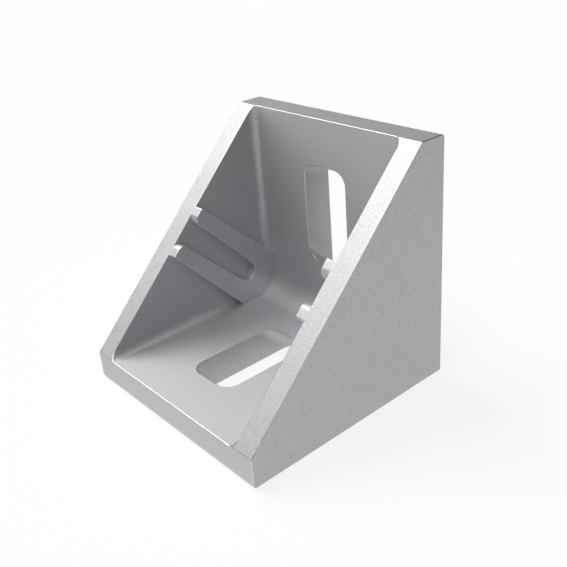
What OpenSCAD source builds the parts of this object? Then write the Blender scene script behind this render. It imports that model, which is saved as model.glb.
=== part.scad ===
// Cast corner bracket for slotted framing profile: two square legs at a
// right angle, closed by two side walls with 45 degree faces. Each leg has a
// long bolt slot, and each side wall has a grooved pad for a clip-on cover.

/* [Bracket] */
// Width across the two side walls
width = 43; // [36:0.5:60]
// Length of the base leg and height of the upright leg
leg = 42; // [38:0.5:60]
// Thickness of each leg
leg_t = 5.1; // [4:0.1:7]
// Thickness of each side wall
wall_t = 3.85; // [2.5:0.05:6]
// Rise of each side wall's flat end above the inner face of the leg
end_step = 0.1; // [0:0.05:2]

/* [Bolt slots] */
// Width of a slot at the leg's inner face
slot_w = 9.9; // [8:0.1:12]
// Length of a slot at the leg's inner face
slot_l = 18; // [14:0.1:20]
// Corner radius of a slot at the leg's inner face
slot_r = 2.5; // [1.6:0.1:3.5]
// Angle at which a slot's sides and its end near the tip close outwards
slot_draft = 9; // [0:0.5:10]
// Angle at which a slot's end near the heel runs under the leg
slot_lean = 45; // [20:1:50]
// Distance from the heel to the middle of a slot at the leg's inner face
slot_mid = 24.6; // [22:0.1:26]

/* [Cover pads] */
// Width of a pad where it meets the 45 degree face
pad_w = 9.9; // [8:0.1:12]
// Rise of a pad from its side wall
pad_rise = 1.9; // [1:0.1:3]
// Angle by which each edge of a pad spreads towards the heel
pad_draft = 2.5; // [0:0.5:4]
// Width of the pad's groove below its flared mouth
groove_w = 4.4; // [3:0.1:6]
// Depth of the groove from the 45 degree face to its round end
groove_depth = 18.75; // [12:0.25:20]
// Angle by which each edge of the groove closes towards the heel
groove_draft = 1.3; // [0:0.1:3]
// Radius of the groove's flared mouth
mouth_r = 1.3; // [0.5:0.1:2]

/* [Roundings] */
// Radius inside the heel, between the two legs
heel_r = 5; // [3:0.1:8]
// Radius inside the corners between the legs and the side walls
corner_r = 1.5; // [0.5:0.1:2.5]
// Radius on the outer edge of each leg's free end
end_r = 0.6; // [0.2:0.1:1.5]

/* [Hidden] */
$fn = 64;

// Flat end of a side wall, from the leg's outer face to the foot of the slope
end_h = leg_t + end_step;
// Half the clear width between the side walls
inside = width / 2 - wall_t;
// Length of the 45 degree face, and the depth of the inner heel below it
slope_l = (leg - end_h) * sqrt(2);
heel_depth = (leg + end_h - 2 * leg_t) / sqrt(2);
// Distance by which a cutter passes a face that it opens
past = 1;
// Height by which a slot's round corners stand proud of the flats beside them
proud = 0.001;
// Lowest and highest point of a slot's cutter above the leg's outer face
cut_low = -past;
cut_high = leg_t + past;
// Run of a slot's drafted and leaning walls for each unit of height
slant = tan(slot_draft);
lean = tan(slot_lean);

// Draws a side profile, (distance from the front, height), across the bracket
module across(w) {
    rotate([90, 0, 90])
        linear_extrude(w, center = true)
            children();
}

// Corner of a profile between the directions +x and +y, taken off by a radius
module round_off(r) {
    difference() {
        translate([-past, -past])
            square(r + past);
        translate([r, r])
            circle(r);
    }
}

// Side profile of the casting, with the outer edges of both free ends rounded
module side_profile() {
    difference() {
        polygon([
            [0, 0],
            [leg, 0],
            [leg, leg],
            [leg - end_h, leg],
            [0, end_h]
        ]);
        round_off(end_r);
        translate([leg, leg])
            rotate(180)
                round_off(end_r);
    }
}

// Section of the hollow between the side walls, with its two lower corners
// rounded; x is across the bracket and y is the height above a leg
module hollow_section(height) {
    flat = inside - corner_r;
    translate([-flat, 0])
        square([2 * flat, height]);
    translate([-inside, corner_r])
        square([2 * inside, height - corner_r]);
    for (side = [-1, 1])
        translate([side * flat, corner_r])
            circle(corner_r);
}

// Quarter turn of the hollow round the inside of the heel
module heel_hollow() {
    rotate([0, 90, 0])
        rotate_extrude(angle = 90)
            rotate(-90)
                intersection() {
                    translate([0, -heel_r])
                        mirror([0, 1])
                            translate([0, -2 * heel_r])
                                hollow_section(2 * heel_r);
                    translate([-width, 0])
                        square([2 * width, heel_r]);
                }
}

// Whole space between the side walls, open at the 45 degree face
module hollow() {
    heel_y = leg - leg_t - heel_r;
    heel_z = leg_t + heel_r;
    translate([0, heel_y, leg_t])
        rotate([90, 0, 0])
            linear_extrude(heel_y + past)
                hollow_section(leg);
    translate([0, leg - leg_t, heel_z])
        rotate(180)
            linear_extrude(leg - heel_z + past)
                hollow_section(leg);
    translate([0, heel_y, heel_z])
        heel_hollow();
}

// Places a shape on the middle of the 45 degree face: x runs up the slope
// and y runs into the casting
module on_slope() {
    translate([0, end_h])
        rotate(45)
            translate([slope_l / 2, 0])
                mirror([0, 1])
                    children();
}

// Outline of a pad as a band that spreads towards the heel
module pad_band() {
    near = pad_w / 2 - past * tan(pad_draft);
    far = pad_w / 2 + heel_depth * tan(pad_draft);
    polygon([
        [-near, -past],
        [near, -past],
        [far, heel_depth],
        [-far, heel_depth]
    ]);
}

// Outline of the groove: a mouth that flares to both sides, straight drafted
// sides and a round blind end
module groove() {
    closing = tan(groove_draft);
    mouth_half = groove_w / 2;
    end_half = (mouth_half - (groove_depth - mouth_r) * closing) / (1 - closing);
    end_y = groove_depth - end_half;
    flare_half = mouth_half + mouth_r;
    difference() {
        translate([-flare_half, -past])
            square([2 * flare_half, past + mouth_r]);
        for (x = [-flare_half, flare_half])
            translate([x, mouth_r])
                circle(mouth_r);
    }
    polygon([
        [-mouth_half, mouth_r],
        [mouth_half, mouth_r],
        [end_half, end_y],
        [-end_half, end_y]
    ]);
    translate([0, end_y])
        circle(end_half);
}

// Grooved pad on one side wall, sunk into the wall that carries it
module pad() {
    sunk = wall_t / 2;
    translate([inside + sunk / 2 - pad_rise / 2, 0, 0])
        across(pad_rise + sunk)
            difference() {
                intersection() {
                    side_profile();
                    on_slope() pad_band();
                }
                on_slope() groove();
            }
}

// Cutter for a slot, from the leg's outer face upwards, with y towards the
// heel. Its corners are cones near the tip and leaning cylinders at the heel
module slot() {
    across_half = slot_w / 2 - leg_t * slant;
    along_half = slot_l / 2 - leg_t * slant;
    low_r = slot_r - leg_t * slant;
    corner_x = across_half - low_r;
    corner_y = along_half - low_r;
    corner_low_r = low_r + cut_low * slant + proud;
    corner_high_r = low_r + cut_high * slant + proud;
    across(2 * corner_x)
        polygon([
            [-along_half - cut_low * slant, cut_low],
            [0, cut_low],
            [0, cut_high],
            [-along_half - cut_high * slant, cut_high]
        ]);
    for (x = [-corner_x, corner_x])
        translate([x, -corner_y, cut_low])
            cylinder(cut_high - cut_low, corner_low_r, corner_high_r);

    lean_r = slot_r * sqrt(cos(slot_lean));
    end_y = slot_l / 2 + leg_t * lean;
    axis_x = across_half - lean_r / cos(slot_draft);
    axis_y = end_y - lean_r / cos(slot_lean);
    leaning_prism(across_half, -corner_y, axis_y - lean_r * lean * sin(slot_draft));
    leaning_prism(axis_x - lean_r * slant * sin(slot_lean), 0, end_y);
    for (side = [0, 1])
        mirror([side, 0, 0])
            leaning_corner(axis_x, axis_y, lean_r);
}

// Part of a slot's cutter with drafted sides, from a square end to a leaning
// one; half is half its width at height 0 and far is its leaning end there
module leaning_prism(half, near, far) {
    intersection() {
        rotate([90, 0, 0])
            linear_extrude(2 * leg, center = true)
                polygon([
                    [-half - cut_low * slant, cut_low],
                    [half + cut_low * slant, cut_low],
                    [half + cut_high * slant, cut_high],
                    [-half - cut_high * slant, cut_high]
                ]);
        across(2 * slot_w)
            polygon([
                [near, cut_low],
                [far - cut_low * lean, cut_low],
                [far - cut_high * lean, cut_high],
                [near, cut_high]
            ]);
    }
}

// Round corner between a slot's drafted side and its leaning end, on an axis
// that passes height 0 at (x, y)
module leaning_corner(x, y, r) {
    stretch = sqrt(1 + slant * slant + lean * lean);
    translate([x - leg_t * slant, y + leg_t * lean, -leg_t])
        rotate([0, acos(1 / stretch), atan2(-lean, slant)])
            cylinder(3 * leg_t * stretch, r + proud, r + proud);
}

module bracket() {
    color("silver")
        translate([0, -leg / 2, 0])
            difference() {
                union() {
                    difference() {
                        across(width) side_profile();
                        hollow();
                    }
                    pad();
                    mirror([1, 0, 0]) pad();
                }
                translate([0, leg - slot_mid, 0])
                    slot();
                translate([0, leg, slot_mid])
                    rotate([90, 0, 0])
                        mirror([0, 1, 0])
                            slot();
            }
}

bracket();
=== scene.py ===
import math

import bmesh
import bpy
from bpy.props import FloatProperty, FloatVectorProperty, IntProperty, PointerProperty
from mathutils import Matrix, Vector


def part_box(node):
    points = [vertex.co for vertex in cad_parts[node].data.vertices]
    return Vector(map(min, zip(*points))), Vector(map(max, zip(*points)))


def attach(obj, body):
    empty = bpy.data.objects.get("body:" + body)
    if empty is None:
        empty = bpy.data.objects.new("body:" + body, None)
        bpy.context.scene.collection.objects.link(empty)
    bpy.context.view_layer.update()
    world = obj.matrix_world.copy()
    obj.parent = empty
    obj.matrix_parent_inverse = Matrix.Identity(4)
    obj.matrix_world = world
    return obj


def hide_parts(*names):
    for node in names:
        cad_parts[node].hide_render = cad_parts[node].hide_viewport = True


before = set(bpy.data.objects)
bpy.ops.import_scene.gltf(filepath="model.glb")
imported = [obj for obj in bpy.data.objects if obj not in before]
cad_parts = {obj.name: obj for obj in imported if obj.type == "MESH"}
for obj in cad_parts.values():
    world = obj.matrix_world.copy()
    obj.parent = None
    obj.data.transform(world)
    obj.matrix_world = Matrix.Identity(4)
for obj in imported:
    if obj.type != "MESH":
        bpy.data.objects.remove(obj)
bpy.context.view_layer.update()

bl_info = {
    "name": "T slot corner bracket",
    "version": (1, 0, 0),
    "blender": (4, 5, 0),
    "location": "3D View > Sidebar > Bracket",
    "description": "Finishes a cast corner bracket and sets a plain studio round it",
    "category": "Object",
}

NODE = "bracket"
BODY = "root"

# Distance within which points of the solid's mesh are one, and greatest angle
# between triangles of one flat face
SAME_POINT = 2e-6
FLAT = math.radians(1)
# Least angle between the faces beside a sharp edge, and greatest angle
# between two sharp edges that meet in a cusp
SHARP = math.radians(30)
CUSP = math.radians(25)
# Greatest angle between two faces that are shaded as one
SMOOTH = math.radians(35)
# Length below which an edge of the finished mesh is closed up
SHORTEST = 1e-6
# Places of the two metals in the casting's list of materials
SKIN, WORN_AND_HIGHLIGHT = 0, 1

# Values of the grain's noise at which the metal is darkest and lightest
DARK_GRAIN = 0.3
LIGHT_GRAIN = 0.7
# Half the side of the floor
FLOOR_REACH = 3
# Near limit of the camera's view
CLIP_START = 0.001


class CastingSettings(bpy.types.PropertyGroup):
    """Sizes and finish of the casting"""

    edge_round: FloatProperty(
        name="Edge round",
        description="Radius to which the tumbled edges are worn",
        default=0.00013,
        min=0,
        unit="LENGTH",
    )
    round_steps: IntProperty(
        name="Round steps",
        description="Number of faces across an edge round",
        default=3,
        min=1,
    )
    metal_colour: FloatVectorProperty(
        name="Metal colour",
        description="Colour of the bare cast aluminium",
        default=(0.55, 0.546, 0.564),
        min=0,
        max=1,
        subtype="COLOR",
    )
    roughness: FloatProperty(
        name="Roughness",
        description="Roughness of the blasted skin",
        default=0.66,
        min=0,
        max=1,
        subtype="FACTOR",
    )
    gloss: FloatProperty(
        name="Gloss",
        description="Share of a smoother layer over the blasted skin",
        default=1.0,
        min=0,
        max=1,
        subtype="FACTOR",
    )
    gloss_roughness: FloatProperty(
        name="Gloss roughness",
        description="Roughness of the smoother layer",
        default=0.3,
        min=0,
        max=1,
        subtype="FACTOR",
    )
    grain_size: FloatProperty(
        name="Grain size",
        description="Size of one grain of the blasted skin",
        default=0.0003,
        min=0.0001,
        unit="LENGTH",
    )
    grain_depth: FloatProperty(
        name="Grain depth",
        description="Height of the grain that catches the light",
        default=0.00003,
        min=0,
        unit="LENGTH",
    )
    grain_contrast: FloatProperty(
        name="Grain contrast",
        description="Share by which the grain darkens and lightens the metal",
        default=0.105,
        min=0,
        max=1,
        subtype="FACTOR",
    )
    # Lighter than the skin: partly wear, partly a painted highlight along the edges
    wear_and_highlight_colour: FloatVectorProperty(
        name="Wear and highlight colour",
        description="Colour of the rubbed edges",
        default=(0.6, 0.596, 0.612),
        min=0,
        max=1,
        subtype="COLOR",
    )
    worn_roughness: FloatProperty(
        name="Worn roughness",
        description="Roughness of the rubbed edges",
        default=0.3,
        min=0,
        max=1,
        subtype="FACTOR",
    )


class StudioSettings(bpy.types.PropertyGroup):
    """Camera, floor and light"""

    camera_place: FloatVectorProperty(
        name="Camera place",
        description="Where the camera stands",
        default=(0.093215, -0.070876, 0.077022),
        subtype="TRANSLATION",
        unit="LENGTH",
    )
    camera_turn: FloatVectorProperty(
        name="Camera turn",
        description="How the camera is turned",
        default=tuple(math.radians(a) for a in (62.9637, 4.2971, 48.6301)),
        subtype="EULER",
        unit="ROTATION",
    )
    camera_lens: FloatProperty(
        name="Lens",
        description="Focal length in millimetres on a 36 mm sensor",
        default=49.79,
        min=1,
    )
    floor_colour: FloatVectorProperty(
        name="Floor colour",
        description="Colour of the pale floor",
        default=(0.85, 0.85, 0.85),
        min=0,
        max=1,
        subtype="COLOR",
    )
    floor_glow: FloatProperty(
        name="Floor glow",
        description="Share of plain white that camera, metal and glass see in the floor",
        default=0.8,
        min=0,
        max=1,
        subtype="FACTOR",
    )
    wall_light: FloatProperty(
        name="Wall light",
        description="Brightness of the room's walls, where 1 is white",
        default=1.0,
        min=0,
        max=1,
        subtype="FACTOR",
    )
    wall_height: FloatProperty(
        name="Wall height",
        description="Angle at which the walls have faded into the ceiling",
        default=math.radians(5.5),
        subtype="ANGLE",
        unit="ROTATION",
    )
    ceiling_share: FloatProperty(
        name="Ceiling share",
        description="Share of the white ceiling's brightness that metal and glass show",
        default=0.03,
        min=0,
        max=1,
        subtype="FACTOR",
    )
    key_strength: FloatProperty(
        name="Key lamp",
        description="Strength of the softbox at the upper left",
        default=2.27,
        min=0,
    )
    front_strength: FloatProperty(
        name="Front lamp",
        description="Strength of the softbox above the camera",
        default=1.32,
        min=0,
    )
    top_strength: FloatProperty(
        name="Top lamp",
        description="Strength of the softbox overhead",
        default=0.5,
        min=0,
    )
    left_strength: FloatProperty(
        name="Left lamp",
        description="Strength of the softbox behind the left side",
        default=0.18,
        min=0,
    )


def bare_metal(name):
    """A metal of a given name, with its node tree and its shader"""
    metal = bpy.data.materials.new(name)
    metal.use_nodes = True
    shader = metal.node_tree.nodes["Principled BSDF"]
    shader.inputs["Metallic"].default_value = 1.0
    return metal, metal.node_tree, shader


def noise(tree, size, detail):
    """Noise with spots of a given size, fixed to the piece"""
    place = tree.nodes.new("ShaderNodeTexCoord")
    spots = tree.nodes.new("ShaderNodeTexNoise")
    spots.inputs["Scale"].default_value = 1 / size
    spots.inputs["Detail"].default_value = detail
    tree.links.new(place.outputs["Object"], spots.inputs["Vector"])
    return spots.outputs["Fac"]


def vary_roughness(tree, shader, roughness, spread, size):
    """Let a metal's roughness vary by a spread to both sides, in soft spots"""
    wear = tree.nodes.new("ShaderNodeMapRange")
    wear.inputs["To Min"].default_value = roughness - spread
    wear.inputs["To Max"].default_value = roughness + spread
    tree.links.new(noise(tree, size, detail=3.0), wear.inputs["Value"])
    tree.links.new(wear.outputs["Result"], shader.inputs["Roughness"])


def cast_aluminium(settings):
    """Bare die-cast aluminium with the fine grain of blasting"""
    metal, tree, shader = bare_metal("Cast aluminium")
    shader.inputs["Coat Weight"].default_value = settings.gloss
    shader.inputs["Coat Roughness"].default_value = settings.gloss_roughness
    grain = noise(tree, settings.grain_size, detail=2.0)

    skin = tree.nodes.new("ShaderNodeBump")
    skin.inputs["Distance"].default_value = settings.grain_depth
    skin.inputs["Strength"].default_value = 1.0
    tree.links.new(grain, skin.inputs["Height"])
    for socket in ("Normal", "Coat Normal"):
        tree.links.new(skin.outputs["Normal"], shader.inputs[socket])

    tint = tree.nodes.new("ShaderNodeValToRGB")
    contrast = settings.grain_contrast
    for stop, at, share in zip(
        tint.color_ramp.elements,
        (DARK_GRAIN, LIGHT_GRAIN),
        (1 - contrast, 1 + contrast),
    ):
        stop.position = at
        stop.color = (*(share * part for part in settings.metal_colour), 1)
    tree.links.new(grain, tint.inputs["Fac"])
    tree.links.new(tint.outputs["Color"], shader.inputs["Base Color"])

    vary_roughness(
        tree, shader, settings.roughness, spread=0.03, size=10 * settings.grain_size
    )
    return metal


def worn_and_highlight_aluminium(settings):
    """Edges that are rubbed smoother than the skin, a little unevenly, and lighter in
    colour: partly wear, partly a painted highlight
    """
    metal, tree, shader = bare_metal("Worn aluminium with painted highlight")
    # The edges' lighter colour is partly wear and partly a painted highlight
    shader.inputs["Base Color"].default_value = (*settings.wear_and_highlight_colour, 1)
    vary_roughness(
        tree, shader, settings.worn_roughness, spread=0.05, size=2 * settings.grain_size
    )
    return metal


def greater(tree, first, second):
    """The greater of two sockets' values"""
    node = tree.nodes.new("ShaderNodeMath")
    node.operation = "MAXIMUM"
    tree.links.new(first, node.inputs[0])
    tree.links.new(second, node.inputs[1])
    return node.outputs["Value"]


def share_of(tree, value, share):
    """A share of a socket's value"""
    node = tree.nodes.new("ShaderNodeMath")
    node.operation = "MULTIPLY"
    node.inputs[1].default_value = share
    tree.links.new(value, node.inputs[0])
    return node.outputs["Value"]


def sight_rays(tree):
    """1 for what the camera sees, and 1 for what metal and glass show"""
    ray = tree.nodes.new("ShaderNodeLightPath")
    shown = greater(
        tree, ray.outputs["Is Glossy Ray"], ray.outputs["Is Transmission Ray"]
    )
    return ray.outputs["Is Camera Ray"], shown


def pale_paint(settings):
    """Even matt paint, partly seen as plain white so that it stays pale"""
    paint = bpy.data.materials.new("Floor paint")
    paint.use_nodes = True
    tree = paint.node_tree
    tree.nodes.clear()
    matt = tree.nodes.new("ShaderNodeBsdfDiffuse")
    matt.inputs["Color"].default_value = (*settings.floor_colour, 1)
    white = tree.nodes.new("ShaderNodeEmission")
    white.inputs["Color"].default_value = (1, 1, 1, 1)
    white.inputs["Strength"].default_value = 1.0
    seen = greater(tree, *sight_rays(tree))

    mix = tree.nodes.new("ShaderNodeMixShader")
    tree.links.new(share_of(tree, seen, settings.floor_glow), mix.inputs["Fac"])
    tree.links.new(matt.outputs["BSDF"], mix.inputs[1])
    tree.links.new(white.outputs["Emission"], mix.inputs[2])
    surface = tree.nodes.new("ShaderNodeOutputMaterial")
    tree.links.new(mix.outputs["Shader"], surface.inputs["Surface"])
    return paint


def pale_room(settings):
    """White walls, and a white ceiling of which metal and glass show a share"""
    room = bpy.data.worlds.new("Room")
    room.use_nodes = True
    tree = room.node_tree
    view = tree.nodes.new("ShaderNodeTexCoord")
    height = tree.nodes.new("ShaderNodeSeparateXYZ")
    tree.links.new(view.outputs["Generated"], height.inputs["Vector"])
    walls = tree.nodes.new("ShaderNodeMapRange")
    walls.interpolation_type = "SMOOTHSTEP"
    walls.inputs["From Max"].default_value = math.sin(settings.wall_height)
    walls.inputs["To Min"].default_value = settings.wall_light
    walls.inputs["To Max"].default_value = 0
    tree.links.new(height.outputs["Z"], walls.inputs["Value"])

    seen, shown = sight_rays(tree)
    ceiling = greater(tree, seen, share_of(tree, shown, settings.ceiling_share))
    light = tree.nodes["Background"]
    light.inputs["Color"].default_value = (1, 1, 1, 1)
    tree.links.new(
        greater(tree, walls.outputs["Result"], ceiling), light.inputs["Strength"]
    )
    return room


def new_piece(name, mesh):
    """An object for a finished mesh, at the origin"""
    piece = bpy.data.objects.new(name, mesh)
    bpy.context.scene.collection.objects.link(piece)
    return piece


def join_triangles(bm):
    """Turn the solid's triangles into its flat faces"""
    bmesh.ops.remove_doubles(bm, verts=bm.verts, dist=SAME_POINT)
    bmesh.ops.dissolve_limit(
        bm,
        angle_limit=FLAT,
        verts=bm.verts,
        edges=bm.edges,
        delimit={"NORMAL"},
    )


def worn_edges(bm):
    """The outer edges that wear round, which are all but those that end in a cusp"""
    sharp = [edge for edge in bm.edges if edge.calc_face_angle() > SHARP]
    all_sharp = set(sharp)

    def from_vert(edge, vert):
        return edge.other_vert(vert).co - vert.co

    def ends_in_cusp(edge):
        return any(
            from_vert(edge, vert).angle(from_vert(other, vert)) < CUSP
            for vert in edge.verts
            for other in vert.link_edges
            if other in all_sharp and other is not edge
        )

    return [edge for edge in sharp if edge.is_convex and not ends_in_cusp(edge)]


def wear_edges(bm, settings):
    """Round the outer edges, in the worn metal, whose lighter colour is partly a painted
    highlight
    """
    rounds = bmesh.ops.bevel(
        bm,
        geom=worn_edges(bm),
        affect="EDGES",
        offset=settings.edge_round,
        offset_type="OFFSET",
        segments=settings.round_steps,
        profile=0.5,
        material=-1,
        clamp_overlap=False,
        loop_slide=True,
    )
    for face in rounds["faces"]:
        face.material_index = WORN_AND_HIGHLIGHT


def keep_in_box(bm, low, high):
    """Draw in the points that the rounding pushed past the solid's box"""
    for vert in bm.verts:
        vert.co = [
            min(max(value, least), most)
            for value, least, most in zip(vert.co, low, high)
        ]
    bmesh.ops.dissolve_degenerate(bm, edges=bm.edges, dist=SHORTEST)


def even_normals(bm):
    """Corner normals that keep the large faces flat and turn over the small ones"""
    normals = []
    for face in bm.faces:
        for corner in face.loops:
            total = Vector()
            for other in corner.vert.link_faces:
                if other.normal.angle(face.normal, math.pi) < SMOOTH:
                    total += other.normal * other.calc_area()
            normals.append(total.normalized() if total.length else face.normal.copy())
    return normals


class BRACKET_OT_casting(bpy.types.Operator):
    """Make the casting with worn edges and its blasted skin"""

    bl_idname = "bracket.casting"
    bl_label = "Casting"

    def execute(self, context):
        settings = context.scene.bracket_casting
        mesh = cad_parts[NODE].data.copy()
        mesh.name = "casting"
        mesh.materials.clear()
        mesh.materials.append(cast_aluminium(settings))
        mesh.materials.append(worn_and_highlight_aluminium(settings))

        bm = bmesh.new()
        bm.from_mesh(mesh)
        for face in bm.faces:
            face.material_index = SKIN
        join_triangles(bm)
        wear_edges(bm, settings)
        keep_in_box(bm, *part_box(NODE))
        for face in bm.faces:
            face.smooth = True
        bm.normal_update()
        normals = even_normals(bm)
        bm.to_mesh(mesh)
        bm.free()
        mesh.normals_split_custom_set(normals)

        casting = new_piece("casting", mesh)
        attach(casting, BODY)
        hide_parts(NODE)
        return {"FINISHED"}


class BRACKET_OT_studio(bpy.types.Operator):
    """Set the floor, the light and the camera"""

    bl_idname = "bracket.studio"
    bl_label = "Studio"

    def execute(self, context):
        settings = context.scene.bracket_studio
        bm = bmesh.new()
        bmesh.ops.create_grid(bm, x_segments=1, y_segments=1, size=FLOOR_REACH)
        mesh = bpy.data.meshes.new("floor")
        bm.to_mesh(mesh)
        bm.free()
        mesh.materials.append(pale_paint(settings))
        new_piece("floor", mesh)

        context.scene.world = pale_room(settings)
        self.add_lamp("Key lamp", settings.key_strength, -76, 52, 43)
        self.add_lamp("Front lamp", settings.front_strength, 28, 59, 40)
        self.add_lamp("Top lamp", settings.top_strength, 0, 90, 40)
        self.add_lamp("Left lamp", settings.left_strength, -102, 44, 35)

        camera = bpy.data.objects.new("Camera", bpy.data.cameras.new("Camera"))
        context.scene.collection.objects.link(camera)
        camera.location = settings.camera_place
        camera.rotation_euler = settings.camera_turn
        camera.data.lens = settings.camera_lens
        camera.data.clip_start = CLIP_START
        context.scene.camera = camera
        context.scene.view_settings.view_transform = "Standard"
        return {"FINISHED"}

    def add_lamp(self, name, strength, azimuth, elevation, spread):
        """A soft round lamp far away, at degrees right of the front and up"""
        data = bpy.data.lights.new(name, "SUN")
        data.energy = strength
        data.angle = math.radians(spread)
        lamp = bpy.data.objects.new(name, data)
        bpy.context.scene.collection.objects.link(lamp)
        lamp.rotation_euler = (math.radians(90 - elevation), 0, math.radians(azimuth))


class BRACKET_PT_panel(bpy.types.Panel):
    """Lists the bracket's settings and steps"""

    bl_idname = "BRACKET_PT_panel"
    bl_label = "Corner bracket"
    bl_space_type = "VIEW_3D"
    bl_region_type = "UI"
    bl_category = "Bracket"

    def draw(self, context):
        for group, operator in (
            (context.scene.bracket_casting, BRACKET_OT_casting),
            (context.scene.bracket_studio, BRACKET_OT_studio),
        ):
            box = self.layout.box()
            for name in group.__annotations__:
                box.prop(group, name)
            box.operator(operator.bl_idname)


CLASSES = (
    CastingSettings,
    StudioSettings,
    BRACKET_OT_casting,
    BRACKET_OT_studio,
    BRACKET_PT_panel,
)


def register():
    for cls in CLASSES:
        bpy.utils.register_class(cls)
    bpy.types.Scene.bracket_casting = PointerProperty(type=CastingSettings)
    bpy.types.Scene.bracket_studio = PointerProperty(type=StudioSettings)


def unregister():
    del bpy.types.Scene.bracket_studio
    del bpy.types.Scene.bracket_casting
    for cls in reversed(CLASSES):
        bpy.utils.unregister_class(cls)


def main():
    register()
    bpy.ops.bracket.casting()
    bpy.ops.bracket.studio()


if __name__ == "__main__":
    main()
